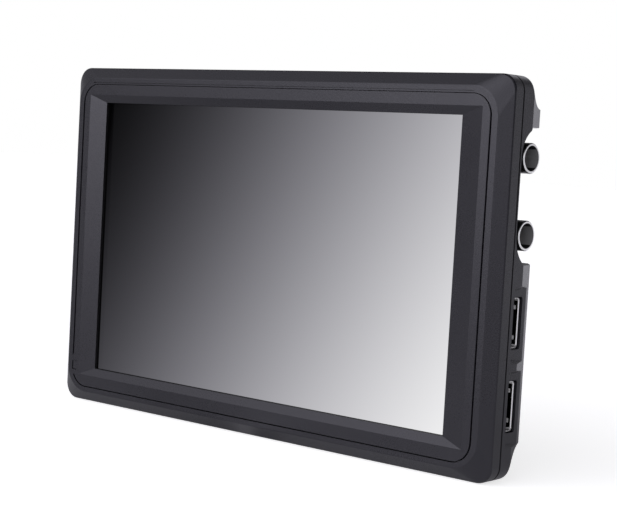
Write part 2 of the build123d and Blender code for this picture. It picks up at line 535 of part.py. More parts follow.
def receptacle_tongue(z, width, thick, rim, depth, bevel, side):
    """Moulded insert of a flat socket: rear block and contact tongue."""
    middle = BOARD_BACK + thick / 2
    reach = sorted((side * (rim - depth), side * (rim - depth + 1.5)))
    half = width / 2 - bevel - 0.3
    insert = block(reach, (BOARD_BACK + 0.4, BOARD_BACK + thick - 0.4), (z - half, z + half))
    reach = sorted((side * (rim - depth), side * (rim - 1.6)))
    half = min(half, width / 2 - 1.5)
    insert += block(reach, (middle - 0.55, middle + 0.55), (z - half, z + half))
    return insert


def round_jack(z, bore, barrel_r, body_w, body_t, depth):
    """Round socket on the left side: moulded body on the board with a round nose."""
    back = -PAD_X + 4.4
    across = (z - body_w / 2, z + body_w / 2)
    body = block((back, back + depth), (BOARD_BACK, BOARD_BACK + body_t), across)
    body += rod(barrel_r, (-PAD_X + 0.3, JACK_Y, z), (back, JACK_Y, z))
    return body - rod(bore, (-95, JACK_Y, z), (back + depth - 2, JACK_Y, z))


# ------------------------------------------------------------------ top controls
def top_button(x):
    """Pill-shaped cap, a collar that keeps it in, and a stem over its switch."""
    wall_side = TOP_INSIDE - 0.05
    button = pill(BUTTON_L, BUTTON_W, x, BUTTON_Y, wall_side, HALF_H - 0.1)
    button = chamfer(button.faces().sort_by(Axis.Z)[-1].edges(), 0.25)
    button += pill(BUTTON_L + 1.6, BUTTON_W + 1.6, x, BUTTON_Y, wall_side - 1.0, wall_side)
    stem_low = KEY_HIGH + DOME_H + BUTTON_TRAVEL + 0.1
    return button + rod(1.1, (x, BUTTON_Y, stem_low), (x, BUTTON_Y, wall_side - 1.0))


def menu_wheel():
    """Knurled thumb wheel on its axle."""
    half = WHEEL_W / 2
    wheel = rod(WHEEL_R, (WHEEL_X - half, WHEEL_Y, WHEEL_Z), (WHEEL_X + half, WHEEL_Y, WHEEL_Z))
    for i in range(WHEEL_GROOVES):
        turn = Rot(X=i * 360 / WHEEL_GROOVES)
        groove = Pos(WHEEL_X, WHEEL_Y, WHEEL_Z) * turn * Pos(0, 0, WHEEL_R)
        wheel -= groove * Rot(Y=90) * Cylinder(GROOVE_R, WHEEL_W + 1)
    return wheel - rod(AXLE_R, (0, WHEEL_Y, WHEEL_Z), (90, WHEEL_Y, WHEEL_Z))


def wheel_cradle():
    """U-shaped carrier that lets the wheel be pressed onto its switch."""
    across = (WHEEL_X - CRADLE_X, WHEEL_X + CRADLE_X)
    cradle = block(across, (WHEEL_Y - 3, WHEEL_Y + 2.8), (CRADLE_LOW, CRADLE_BASE))
    front, back, top = WHEEL_Y - 2.6, WHEEL_Y + 2.2, WHEEL_Z + 2.3
    arm = [(front, CRADLE_LOW), (front, top - 1.6), (front + 1.4, top), (back - 1.2, top),
           (back, top - 1.2), (back, CRADLE_LOW)]
    for way in (-1, 1):
        near, far = WHEEL_X + way * 4.4, WHEEL_X + way * CRADLE_X
        cradle += side_prism(arm, *sorted((near, far)))
    return cradle - rod(AXLE_R + 0.05, (0, WHEEL_Y, WHEEL_Z), (90, WHEEL_Y, WHEEL_Z))


def wheel_switch():
    body_top = SHELF_TOP + 2.2
    body = block((WHEEL_X - 3, WHEEL_X + 3), (WHEEL_Y - 2.8, WHEEL_Y + 3), (SHELF_TOP, body_top))
    return body + rod(1.2, (WHEEL_X, WHEEL_Y, body_top), (WHEEL_X, WHEEL_Y, body_top + 0.7))


# ------------------------------------------------------------------ battery plate
def battery_plate():
    """Slide-on plate: base, two pairs of hooks, room for the latch and the contacts."""
    middle = (PLATE_LOW + PLATE_HIGH) / 2
    outline = Pos(0, middle) * RectangleRounded(2 * PLATE_X, PLATE_HIGH - PLATE_LOW, 3)
    base = plate(outline, PLATEAU_BACK, PLATE_FACE)
    for side in (-1, 1):
        for z in (-16.0, 14.0):
            post = sorted((side * (PLATE_X - 1.6), side * PLATE_X))
            lip = sorted((side * (PLATE_X - 3.0), side * PLATE_X))
            base += block(post, (PLATE_FACE - 0.5, DEPTH), (z - 6, z + 6))
            base += block(lip, (DEPTH - 1.1, DEPTH), (z - 6, z + 6))
    gap = 0.25
    base -= block((-LATCH_X - gap, LATCH_X + gap), (20, 40), (LATCH_LOW - gap, LATCH_HIGH + gap))
    pocket = (LATCH_LOW - 1.2, PLATE_HIGH - 0.5)
    base -= block((-LATCH_X - 1.4, LATCH_X + 1.4), (20, LATCH_FLANGE + 0.9), pocket)
    for x, z in PLATE_SCREWS:
        base -= rod(1.3, (x, 20, z), (x, 30, z))
        base -= rod(2.5, (x, PLATE_SEAT, z), (x, 30, z))
    return base


def contact_block():
    seat = block((-13, 13), (PLATE_FACE, DEPTH), (CONTACTS_LOW, CONTACTS_HIGH))
    for x in CONTACTS_X:
        seat -= block((x - 0.6, x + 0.6), (PLATE_FACE + 0.4, DEPTH - 0.5), (CONTACTS_HIGH - 3, 0))
    return seat


def battery_contacts():
    """Three flat blades that enter the battery's slots."""
    lengthways = (CONTACTS_HIGH - 3, CONTACTS_HIGH + 4.5)
    return [block((x - 0.6, x + 0.6), (PLATE_FACE + 0.4, DEPTH - 0.5), lengthways) for x in CONTACTS_X]


def battery_latch():
    """Push button whose tooth stands behind the battery."""
    latch = block((-LATCH_X, LATCH_X), (LATCH_FLANGE, DEPTH - 0.4), (LATCH_LOW, LATCH_HIGH))
    rear_edges = latch.edges().filter_by(Axis.X).group_by(Axis.Y)[-1]
    latch = chamfer(rear_edges.sort_by(Axis.Z)[-1:], 1.6)
    latch += block((-LATCH_X - 1.1, LATCH_X + 1.1), (LATCH_FLANGE, LATCH_FLANGE + 0.8),
                   (LATCH_LOW - 0.9, LATCH_HIGH + 0.5))
    return latch - rod(2.3, (0, 20, LATCH_Z), (0, PLATE_FACE + 1.2, LATCH_Z))


def latch_spring():
    """Coil under the latch button, at its pressed length."""
    wire, radius, height, pitch = 0.22, 1.8, 3.0, 0.85
    path = Helix(pitch=pitch, height=height, radius=radius)
    start = Plane(origin=path @ 0, z_dir=path % 0)
    coil = sweep(start * Circle(wire), path=path)
    turn = Plane(origin=(0, PLATEAU_BACK + 0.3, LATCH_Z), x_dir=(1, 0, 0), z_dir=(0, 1, 0))
    return turn * coil


# ------------------------------------------------------------------ all pieces
def main():
    os.makedirs("parts", exist_ok=True)

    save("front_frame", front_frame())
    save("frame_inserts", *frame_inserts())
    save("screen_bezel", screen_bezel())

    gasket = panel_sheet(PANEL_W, PANEL_H, BEZEL_BACK, GLASS_Y)
    save("screen_gasket", gasket - panel_sheet(SCREEN_W, SCREEN_H, 0, 5))
    save("lcd_glass", panel_sheet(PANEL_W, PANEL_H, GLASS_Y, GLASS_Y + GLASS_T))
    save("lcd_cell", panel_sheet(PANEL_W, PANEL_H, GLASS_Y + GLASS_T, CELL_BACK))
    film = (FILMS_BACK - CELL_BACK) / 3
    films = [panel_sheet(GUIDE_W, GUIDE_H, CELL_BACK + i * film, CELL_BACK + (i + 1) * film)
             for i in range(3)]
    save("diffuser_films", *[Pos(0, 0, GUIDE_RISE) * sheet for sheet in films])
    guide = panel_sheet(GUIDE_W, GUIDE_H, FILMS_BACK, GUIDE_BACK)
    save("light_guide", Pos(0, 0, GUIDE_RISE) * guide)
    guide_low = GUIDE_RISE - GUIDE_H / 2
    led_bar = block((-GUIDE_W / 2, GUIDE_W / 2), (FILMS_BACK, GUIDE_BACK), (guide_low - 1.5, guide_low))
    save("led_bar", led_bar)
    reflector = panel_sheet(PANEL_W - 1, PANEL_H - 1, GUIDE_BACK, TRAY_BACK - TRAY_SHEET)
    save("reflector_sheet", reflector)
    save("panel_tray", panel_tray())
    seat = FRAME_BACK + TRAY_SHEET
    save("panel_screws", *[screw(x, z, seat, 1.7, 0.7, 0.8, 3.0) for x, z in PANEL_SCREWS])
    save("panel_flex", panel_flex())

    save("main_board", main_board())
    save("board_chips", *board_chips())
    board_screws = [screw(x, z, BOARD_Y, 2.2, 0.6, 1.0, 8.0, forwards=False) for x, z in BOARD_SCREWS]
    save("board_screws", *board_screws)
    chip_back = BOARD_BACK + CHIP_T
    pad = block((SINK_X - 10, SINK_X + 10), (chip_back, PAD_BACK), (SINK_Z - 10, SINK_Z + 10))
    save("thermal_pad", pad)
    save("heat_sink", heat_sink())
    save("key_board", key_board())
    save("key_switches", *key_switches())
    save("key_cable", key_cable())

    save("rear_cover", rear_cover())
    save("case_screws", *[screw(x, z, CASE_SEAT, 2.6, 1.8, 1.5, 6.4) for x, z in CASE_SCREWS])
    inserts = [rod(STAND_OUT, (x, PLATEAU_BACK - STAND_L, z), (x, PLATEAU_BACK, z))
               - rod(STAND_R, (x, 0, z), (x, 30, z)) for x, z in STAND_INSERTS]
    save("stand_inserts", *inserts)
    tripod = rod(TRIPOD_OUT, (0, FOOT_Y, -HALF_H), (0, FOOT_Y, TRIPOD_LENGTH - HALF_H))
    save("tripod_insert", tripod - rod(TRIPOD_R, (0, FOOT_Y, -HALF_H - 1), (0, FOOT_Y, 0)))

    for name, z in COAX_HEIGHTS.items():
        save(f"{name}_shell", coax_shell(z))
        save(f"{name}_insulator", coax_insulator(z))
        save(f"{name}_contact", coax_contact(z))
        save(f"{name}_nut", coax_nut(z))
    for name, z in AV_HEIGHTS.items():
        save(f"{name}_shell", receptacle(z, side=1, **AV_SHAPE))
        save(f"{name}_tongue", receptacle_tongue(z, side=1, **AV_SHAPE))
    save("service_port_shell", receptacle(PORT_Z, side=-1, **PORT_SHAPE))
    save("service_port_tongue", receptacle_tongue(PORT_Z, side=-1, **PORT_SHAPE))
    save("phones_jack", round_jack(PHONES_Z, 1.8, PHONES_R, 6.6, 7.4, 12))
    save("supply_jack", round_jack(SUPPLY_Z, 2.9, SUPPLY_R, 9.0, 9.2, 13))
    tip, root = (-PAD_X + 1.5, JACK_Y, SUPPLY_Z), (-PAD_X + 13.2, JACK_Y, SUPPLY_Z)
    save("supply_pin", rod(1.0, tip, root))

    for name, x in BUTTONS.items():
        save(name, top_button(x))
    save("power_light", rod(LED_R, (LED_X, BUTTON_Y, KEY_HIGH), (LED_X, BUTTON_Y, HALF_H)))
    save("menu_wheel", menu_wheel())
    ends = [(WHEEL_X + way * (CRADLE_X - 0.1), WHEEL_Y, WHEEL_Z) for way in (-1, 1)]
    save("wheel_axle", rod(AXLE_R, *ends))
    save("wheel_cradle", wheel_cradle())
    save("wheel_switch", wheel_switch())

    save("battery_plate", battery_plate())
    save("plate_screws", *[screw(x, z, PLATE_SEAT, 2.3, 1.5, 1.0, 7.0) for x, z in PLATE_SCREWS])
    save("contact_block", contact_block())
    save("battery_contacts", *battery_contacts())
    save("battery_latch", battery_latch())
    save("latch_spring", latch_spring())


if __name__ == "__main__":
    main()
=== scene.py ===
# %% [markdown]
# # Dressing a camera field monitor
# The mechanical model of a small camera monitor comes in as a fixed frame: every part is
# already at its real size and place, in metres, standing on its bottom edge. This lesson gives
# it its looks. Finishes go on the parts that are there, and a few small pieces that the model
# leaves out, such as thread turns and printed marks, are built and made to ride on them.
# Small sizes are written in millimetres, as on a drawing, and `MM` turns them into metres.

# %% Load the frame
import math

import bmesh
import bpy
from mathutils import Matrix, Vector


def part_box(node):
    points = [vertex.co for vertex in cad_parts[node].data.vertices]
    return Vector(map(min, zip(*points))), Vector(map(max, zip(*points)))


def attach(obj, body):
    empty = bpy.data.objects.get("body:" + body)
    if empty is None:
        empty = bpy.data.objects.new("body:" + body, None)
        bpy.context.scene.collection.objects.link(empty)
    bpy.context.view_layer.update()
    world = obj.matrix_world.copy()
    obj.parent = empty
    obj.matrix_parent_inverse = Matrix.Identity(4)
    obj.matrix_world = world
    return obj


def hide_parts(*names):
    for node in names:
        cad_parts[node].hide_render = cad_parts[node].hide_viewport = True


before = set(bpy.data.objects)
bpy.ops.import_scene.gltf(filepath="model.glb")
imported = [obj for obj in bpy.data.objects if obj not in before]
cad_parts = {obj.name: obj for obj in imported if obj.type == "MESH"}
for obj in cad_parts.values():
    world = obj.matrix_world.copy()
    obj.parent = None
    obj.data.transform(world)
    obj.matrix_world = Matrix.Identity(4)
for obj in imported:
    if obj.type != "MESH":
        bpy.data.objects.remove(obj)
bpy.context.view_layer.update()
scene = bpy.context.scene
MM = 0.001

# %% [markdown]
# ## The camera
# The monitor is seen from the front right, from just above its middle, through a long lens
# that is turned a little about its own axis. A Track To constraint could aim the camera, but
# it would undo that last turn, so three angles are given outright, and each is one rotation. A
# Blender camera looks along its own -Z with +Y up, so it starts out looking at the floor: a
# tilt of nearly 90 degrees about X raises it to the horizon.

# %% Camera
EYE = Vector((332.876, -389.974, 93.18)) * MM
AROUND, LOOKS_DOWN, ROLL = 39.7445, 4.1383, 3.2235          # degrees
FOCAL_LENGTH, SENSOR_WIDTH = 90.92, 36.0                    # as written on a lens, in mm


def rotation(degrees, axis):
    return Matrix.Rotation(math.radians(degrees), 4, axis)


lens = bpy.data.cameras.new("long_lens")
lens.lens = FOCAL_LENGTH
lens.sensor_width = SENSOR_WIDTH
lens.clip_start = 10 * MM
camera = bpy.data.objects.new("camera", lens)
aim = rotation(AROUND, "Z") @ rotation(90 - LOOKS_DOWN, "X") @ rotation(ROLL, "Z")
camera.matrix_world = Matrix.Translation(EYE) @ aim
scene.collection.objects.link(camera)
scene.camera = camera
scene.view_settings.view_transform = "Standard"
print("camera at", tuple(round(v, 3) for v in EYE), "with a", FOCAL_LENGTH, "mm lens")

# %% [markdown]
# ## Writing finishes as sums
# A finish in Blender is a network of nodes. Made node by node it is long and hard to read, so
# one small class wraps a node's output and lets Python's operators add the Math nodes:
# `1 - mask` becomes a subtraction. The `Network` class adds every other kind of node with one
# method: the node's type, then its settings, then what goes into its sockets.


# %% A socket that can be used in sums
class Wire:
    def __init__(self, network, socket):
        self.network = network
        self.socket = socket

    def calc(self, operation, *values):
        settings = {"operation": operation}
        return self.network.node("ShaderNodeMath", settings, dict(enumerate(values)))

    def __add__(self, other):
        return self.calc("ADD", self, other)

    def __radd__(self, other):
        return self.calc("ADD", other, self)

    def __sub__(self, other):
        return self.calc("SUBTRACT", self, other)

    def __rsub__(self, other):
        return self.calc("SUBTRACT", other, self)

    def __mul__(self, other):
        return self.calc("MULTIPLY", self, other)

    def __rmul__(self, other):
        return self.calc("MULTIPLY", other, self)

    def __truediv__(self, other):
        return self.calc("DIVIDE", self, other)

    def __rtruediv__(self, other):
        return self.calc("DIVIDE", other, self)

    def __pow__(self, other):
        return self.calc("POWER", self, other)

    def __rpow__(self, other):
        return self.calc("POWER", other, self)

    def __lt__(self, other):
        return self.calc("LESS_THAN", self, other)

    def __gt__(self, other):
        return self.calc("GREATER_THAN", self, other)

    def __abs__(self):
        return self.calc("ABSOLUTE", self)

    def sine(self):
        return self.calc("SINE", self)

    def larger(self, other):
        return self.calc("MAXIMUM", self, other)


print("a Wire understands + - * / ** < > and abs()")


# %% A network of nodes
class Network:
    def __init__(self, tree):
        self.tree = tree

    def node(self, kind, settings=None, sockets=None, output=0):
        node = self.tree.nodes.new(kind)
        for name, value in (settings or {}).items():
            setattr(node, name, value)
        for key, value in (sockets or {}).items():
            self.feed(node.inputs[key], value)
        return Wire(self, node.outputs[output])

    def feed(self, socket, value):
        if isinstance(value, Wire):
            self.tree.links.new(value.socket, socket)
        elif isinstance(value, tuple) and len(value) == 3 and socket.type == "RGBA":
            socket.default_value = (*value, 1.0)
        else:
            socket.default_value = value

    def place(self):
        return self.node("ShaderNodeTexCoord", output="Object")

    def axes(self):
        split = self.node("ShaderNodeSeparateXYZ", None, {0: self.place()})
        return [Wire(self, split.socket.node.outputs[axis]) for axis in "XYZ"]

    def vector(self, operation, *values, output=0):
        settings = {"operation": operation}
        return self.node("ShaderNodeVectorMath", settings, dict(enumerate(values)), output)

    def noise(self, size, detail=2.0, stretch=(1, 1, 1)):
        """Cloudy noise whose blobs are `size` metres across, longer where stretch is over 1."""
        spread = self.vector("MULTIPLY", self.place(), tuple(1 / (size * s) for s in stretch))
        return self.node("ShaderNodeTexNoise", None,
                         {"Vector": spread, "Scale": 1.0, "Detail": detail})

    def mix(self, factor, first, second):
        return self.node("ShaderNodeMix", {"data_type": "RGBA"},
                         {0: factor, 6: first, 7: second}, output=2)

    def bump(self, height, depth):
        return self.node("ShaderNodeBump", None,
                         {"Height": height, "Strength": 1.0, "Distance": depth})


class Finish(Network):
    """A material on Blender's general-purpose shader; constants go on the shader itself."""

    def __init__(self, name, **constants):
        self.material = bpy.data.materials.new(name)
        self.material.use_nodes = True
        super().__init__(self.material.node_tree)
        self.shader = self.tree.nodes["Principled BSDF"]
        self.paint(**constants)

    def paint(self, **values):
        for name, value in values.items():
            self.feed(self.shader.inputs[name.replace("_", " ")], value)
        return self.material


print("finish helpers ready")

# %% [markdown]
# ## Moulded plastic
# The casing is charcoal plastic with the fine matt texture of a spark-eroded mould. A flat
# colour would make it a toy. The mould's grain is a fine bump, slow clouds move the colour and
# the roughness a little, as they do on a real wall of plastic, and the colour is a shade cool.
# The same helper makes the darker battery plate, the keys and the rubbery wheel. It can also
# blacken a place that is given as a test on position.


# %% Moulded plastic
BLACK = (0.001, 0.001, 0.001)
WHITE = (1.0, 1.0, 1.0)
CLOUD_SIZE = 30 * MM
DARKER, LIGHTER = 0.9, 1.1             # how far the clouds and the grain move the tone
CLOUD_SHARE = 0.7                      # the clouds' share in that; the grain has the rest
CLOUD_SWING, GRAIN_SWING = 0.14, 0.1   # how far each of them moves the roughness
BLACK_IS_DULLER = 0.4                  # roughness that blackening adds


def shades(colour, darker, lighter):
    """The colour made a little darker and a little lighter, and never more than white."""
    return [tuple(min(1.0, part * share) for part in colour) for share in (darker, lighter)]


def moulded(name, colour, grain=0.22 * MM, depth=0.01 * MM, roughness=0.28, specular=0.5,
            gloss_tint=WHITE, blackened=None):
    finish = Finish(name, Specular_IOR_Level=specular, Specular_Tint=gloss_tint)
    fine = finish.noise(grain, detail=1.5)
    clouds = finish.noise(CLOUD_SIZE, detail=3.0)
    share = clouds * CLOUD_SHARE + fine * (1 - CLOUD_SHARE)
    tone = finish.mix(share, *shades(colour, DARKER, LIGHTER))
    matt = roughness + (clouds - 0.5) * CLOUD_SWING + (fine - 0.5) * GRAIN_SWING
    if blackened:
        place = blackened(*finish.axes())
        tone = finish.mix(place, tone, BLACK)
        matt = matt + place * BLACK_IS_DULLER
    return finish.paint(Base_Color=tone, Normal=finish.bump(fine, depth), Roughness=matt)


print("moulded plastic has clouds", round(CLOUD_SIZE / MM), "mm across")

# %% [markdown]
# ## Painted shade at the joint, and a dark wall
# The casing is in two halves, and the lips where they meet are left unpolished. They sit in
# each other's shadow, and that shade is painted on them as black. The small wall that drops from
# the bezel's recess to the screen is blackened too, so that it can't throw a grey line beside
# the picture. A second material on picked faces would need to know each face. Position is
# simpler: a band of depth is the joint, and what lies inside the opening's outline is the wall.

# %% Casing and bezel
PICTURE = Vector((150.8, 0, 94.25)) * MM
EDGE_PAINT = 0.05 * MM                 # how far the black reaches past the picture
JOINT_Y, JOINT_HALF = -8.12 * MM, 0.36 * MM


def middle(node):
    """The middle of a node's own box."""
    low, high = (Vector(corner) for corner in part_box(node))
    return (low + high) / 2


screen_middle = middle("lcd_glass")


# painted shade: the lips of the joint, which sit in each other's shadow, are blackened
def painted_joint_shade(x, y, z):
    return abs(y - JOINT_Y) < JOINT_HALF


def inner_wall(x, y, z):
    inside_x = abs(x) < PICTURE.x / 2 + EDGE_PAINT
    return inside_x * (abs(z - screen_middle.z) < PICTURE.z / 2 + EDGE_PAINT)


CHARCOAL = (0.0173, 0.0167, 0.0207)
CASING_GLOSS = {"specular": 0.53, "gloss_tint": (0.92, 0.91, 0.975)}
casing_plastic = moulded("casing_plastic", CHARCOAL, blackened=painted_joint_shade, **CASING_GLOSS)
bezel_plastic = moulded("bezel_plastic", CHARCOAL, blackened=inner_wall, **CASING_GLOSS)
print("bezel blackened round a picture of", tuple(round(side / MM, 2) for side in PICTURE.xz), "mm")

# %% Other mouldings
plate_plastic = moulded("plate_plastic", (0.010, 0.010, 0.011), grain=0.3 * MM, roughness=0.36)
latch_plastic = moulded("latch_plastic", (0.014, 0.014, 0.016), roughness=0.36)
key_rubber = moulded("key_rubber", (0.022, 0.022, 0.025), grain=0.15 * MM, roughness=0.55)
wheel_rubber = moulded("wheel_rubber", (0.010, 0.010, 0.011), grain=0.12 * MM, roughness=0.6)
socket_black = moulded("socket_black", (0.006, 0.006, 0.006), grain=0.2 * MM,
                       roughness=0.45, specular=0.3)
white_moulding = moulded("white_moulding", (0.72, 0.71, 0.68), depth=0.004 * MM, roughness=0.4)
chip_epoxy = moulded("chip_epoxy", (0.012, 0.012, 0.013), grain=0.18 * MM, roughness=0.5)
foam_black = moulded("foam_black", (0.003, 0.003, 0.003), grain=0.4 * MM, depth=0.04 * MM,
                     roughness=0.9, specular=0.1)
gap_pad = moulded("gap_pad", (0.2, 0.26, 0.42), grain=0.6 * MM, depth=0.02 * MM, roughness=0.7)
print("moulded finishes made, charcoal", CHARCOAL)

# %% [markdown]
# ## The screen's painted reflection
# A grey ramp, dark at the upper left and light at the lower right, is painted into the
# emission of the glass. It is a painted reflection of the studio, made to glow from the screen.
# A Color Ramp node could hold it as a row of stops, but a formula has no joints that show:
# position along one slanting direction goes through a sine, which is steep in the middle and
# eases off at both ends. That gives a ramp value, and a curve like a screen's turns it into
# the painted glow. The dark end is a little cooler than the light one.
# The glass in front is coated, so that it hardly mirrors the room, and what it does mirror is
# taken off the painted glow of the ramp.

# %% Screen glass with a painted reflection
ACROSS, UPWARDS = 0.848, -0.530        # direction in which the ramp gets lighter
MIDDLE_GREY_AT = 2 * MM
SWING, STEEPNESS = 0.602, 9.5
TOE, CONTRAST = 0.055, 2.4             # the curve from screen value to light
MIRRORED = 0.004                       # the light that the glass mirrors
COOL, NEUTRAL = (0.985, 0.955, 1.14), (0.985, 0.985, 0.985)

screen = Finish("screen_glass", Base_Color=(0.002, 0.002, 0.0022), Specular_IOR_Level=0.05,
                Emission_Strength=1.0)
x, y, z = screen.axes()
along = x * ACROSS + (z - screen_middle.z) * UPWARDS - MIDDLE_GREY_AT
value = (along * STEEPNESS).sine() * SWING + 0.5
# painted reflection: the ramp's value becomes the glow that the glass gives out
light = (((value + TOE) / (1 + TOE)) ** CONTRAST - MIRRORED).larger(0)
wiped = screen.noise(12 * MM, detail=4.0, stretch=(6, 1, 1))
screen_glass = screen.paint(
    Emission_Color=screen.mix(light, (0.0, 0.0, 0.0), screen.mix(value, COOL, NEUTRAL)),
    Roughness=0.12 + wiped * 0.1,
)
half_ramp = PICTURE.x / 2 * ACROSS - PICTURE.z / 2 * UPWARDS
ends = [0.5 + SWING * math.sin(STEEPNESS * (side * half_ramp - MIDDLE_GREY_AT)) for side in (-1, 1)]
print("ramp goes from", round(ends[0], 2), "to", round(ends[1], 2))

# %% [markdown]
# ## Metals
# Screws, inserts and springs are drawn or turned metal. What shows is not their colour but how
# the tool left them: fine lines in one direction. The shader's Anisotropic setting would
# stretch the highlights but draw no lines. Noise that is stretched along that direction does
# draw them, and drives the roughness and a very shallow bump.


# %% Metals
TOOL_LINE = 0.12 * MM
STAIN_SIZE = 4 * MM
STAINED, RUBBED = 0.86, 1.08           # how dull and how bright handling leaves the metal
STAIN_SHARE = 0.6                      # the stains' share in that; the tool lines have the rest
LINE_SWING = 0.2                       # how far the tool lines move the roughness


def metal(name, colour, roughness=0.3, stretch=(1, 1, 12), depth=0.004 * MM):
    finish = Finish(name, Metallic=1.0)
    lines = finish.noise(TOOL_LINE, stretch=stretch)
    stains = finish.noise(STAIN_SIZE, detail=3.0)
    share = stains * STAIN_SHARE + lines * (1 - STAIN_SHARE)
    return finish.paint(
        Base_Color=finish.mix(share, *shades(colour, STAINED, RUBBED)),
        Roughness=roughness + (lines - 0.5) * LINE_SWING,
        Normal=finish.bump(lines, depth),
    )


brass = metal("turned_brass", (0.72, 0.53, 0.25), roughness=0.28, stretch=(1, 12, 1))
steel = metal("turned_steel", (0.55, 0.55, 0.56), roughness=0.3)
tray_steel = metal("tray_steel", (0.58, 0.58, 0.59), roughness=0.38, stretch=(30, 1, 1))
zinc = metal("zinc_plated", (0.6, 0.61, 0.64), roughness=0.3)
nickel = metal("nickel_plated", (0.78, 0.76, 0.72), roughness=0.16, depth=0.001 * MM)
fin_aluminium = metal("extruded_aluminium", (0.62, 0.63, 0.65), roughness=0.36, stretch=(1, 1, 60))
black_oxide = metal("black_oxide", (0.035, 0.035, 0.037), roughness=0.4)
print("metal finishes made")

# %% [markdown]
# ## Sockets
# Two kinds of socket stand at the right side. The coaxial jacks are blackened barrels whose
# front rim is left bright and polished, and a grey band up each bore's wall is painted light.
# The flat ones are nickel shells: the folded rim and the ends of the two spring fingers catch
# the light, and the depth behind them is painted dark as painted shade. Painting each of them
# by hand would do for one socket. All of it follows from how far a point lies behind the
# socket's mouth, though, so each finish measures that depth from the node's own box, one step
# turns it into a mask, and the same few lines serve every socket.


# %% Coaxial jacks
BLACKENED, BORE_LIGHT_GREY, BRIGHT = (0.008, 0.008, 0.0085), (0.24, 0.24, 0.24), (0.96, 0.96, 0.95)
BARREL_Y = -0.2 * MM
POLISHED = 0.14 * MM                   # depth of the bright rim
BORE = 3.8 * MM
LIT_BAND_HALF = 2.7 * MM                   # the painted light on the bore's wall reaches this far up and down from its middle
BARREL_ROUGH, POLISHING = 0.34, 0.16   # roughness, and what polishing takes off it


def barrel_finish(node):
    low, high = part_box(node)
    mouth, middle_z = high[0], (low[2] + high[2]) / 2
    finish = Finish(node + "_finish", Specular_IOR_Level=0.35)
    x, y, z = finish.axes()
    rim = x > mouth - POLISHED
    hole = (BORE - ((y - BARREL_Y) ** 2 + (z - middle_z) ** 2) ** 0.5) > 0
    # painted light: a grey band on the bore's wall, up and down from its middle, where light falls
    painted_light_band = hole * (abs(z - middle_z) < LIT_BAND_HALF)
    turned_lines = finish.noise(0.1 * MM, stretch=(1, 8, 8))
    return finish.paint(
        Base_Color=finish.mix(rim, finish.mix(painted_light_band, BLACKENED, BORE_LIGHT_GREY), BRIGHT),
        Metallic=rim,
        Roughness=BARREL_ROUGH - rim * POLISHING + (turned_lines - 0.5) * 0.12,
        Normal=finish.bump(turned_lines, 0.002 * MM),
    )


print("coaxial rims are polished", round(POLISHED / MM, 2), "mm deep")

# %% Flat sockets
FINGER_Y = -0.98 * MM                  # middle of the spring fingers' thickness
FINGER_HALF = 0.16 * MM
FINGER_DEPTH = 1.5 * MM                # how far in a finger's end is still bright
FLARE = 0.3 * MM                       # how far the bright flare of the mouth goes in
# deeper than the rim and the fingers' ends, the shell's metal is painted dark: painted shade
PAINTED_SHADE_INSIDE, PLATED = (0.02, 0.02, 0.02), (0.93, 0.92, 0.91)


def shell_finish(node, side):
    low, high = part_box(node)
    mouth = high[0] if side > 0 else -low[0]
    finish = Finish(node + "_finish")
    x, y, z = finish.axes()
    depth = mouth - x * side
    rim = depth < FLARE
    finger = (abs(y - FINGER_Y) < FINGER_HALF) * (depth < FINGER_DEPTH)
    drawn = finish.noise(0.15 * MM, stretch=(10, 1, 1))
    return finish.paint(
        # the rim and the fingers' ends keep the plated colour, and everything deeper gets painted
        # shade
        Base_Color=finish.mix(rim.larger(finger), PAINTED_SHADE_INSIDE, PLATED),
        Metallic=1 - finger,
        Roughness=0.38 + (drawn - 0.5) * 0.1,
        Normal=finish.bump(drawn, 0.002 * MM),
    )


socket_shells = {"av_in_shell": 1, "av_out_shell": 1, "service_port_shell": -1}
print("socket finishes for", ", ".join(socket_shells))

# %% [markdown]
# ## Boards, films and foils
# What is inside shows only through the vents, but each sheet is told from the next by its
# make-up: green resist over copper lines, an amber foil with its conductors, white films with
# fine prisms, a light guide with its dots, and a light bar with yellow emitters in a row.
# Image textures would have to be drawn first. Sines of position make such regular patterns on
# their own, and a comparison sharpens them. The number that multiplies a position is in
# radians to the metre, so a pattern repeats after 2 pi metres divided by it.


# %% Circuit board
def repeat(pattern):
    """After how many millimetres a pattern repeats."""
    return round(2 * math.pi / pattern / MM, 1)


LINES_ACROSS, LINES_UP = 3100, 2300
BENDING = 9                            # how many radians a line may wander

board = Finish("circuit_board", Specular_IOR_Level=0.5)
x, y, z = board.axes()
wander = board.noise(6 * MM, detail=1.0) * BENDING
copper = ((x * LINES_ACROSS + wander).sine() * (z * LINES_UP + wander).sine()) > 0.35
resist = board.mix(board.noise(20 * MM), (0.008, 0.075, 0.035), (0.012, 0.1, 0.045))
board_green = board.paint(Base_Color=board.mix(copper, resist, (0.02, 0.16, 0.06)),
                          Roughness=0.32 - copper * 0.06, Normal=board.bump(copper, 0.02 * MM))
print("copper lines repeat every", repeat(LINES_ACROSS), "and", repeat(LINES_UP), "mm")

# %% Foils and films
CONDUCTORS, PRISMS = 9000, 20000

foil = Finish("amber_foil", Specular_IOR_Level=0.5)
x, y, z = foil.axes()
conductor = (x * CONDUCTORS).sine() > 0.1
amber = foil.mix(foil.noise(3 * MM), (0.42, 0.17, 0.02), (0.52, 0.22, 0.03))
amber_foil = foil.paint(Base_Color=foil.mix(conductor, amber, (0.6, 0.3, 0.08)),
                        Roughness=0.3, Normal=foil.bump(conductor, 0.01 * MM))

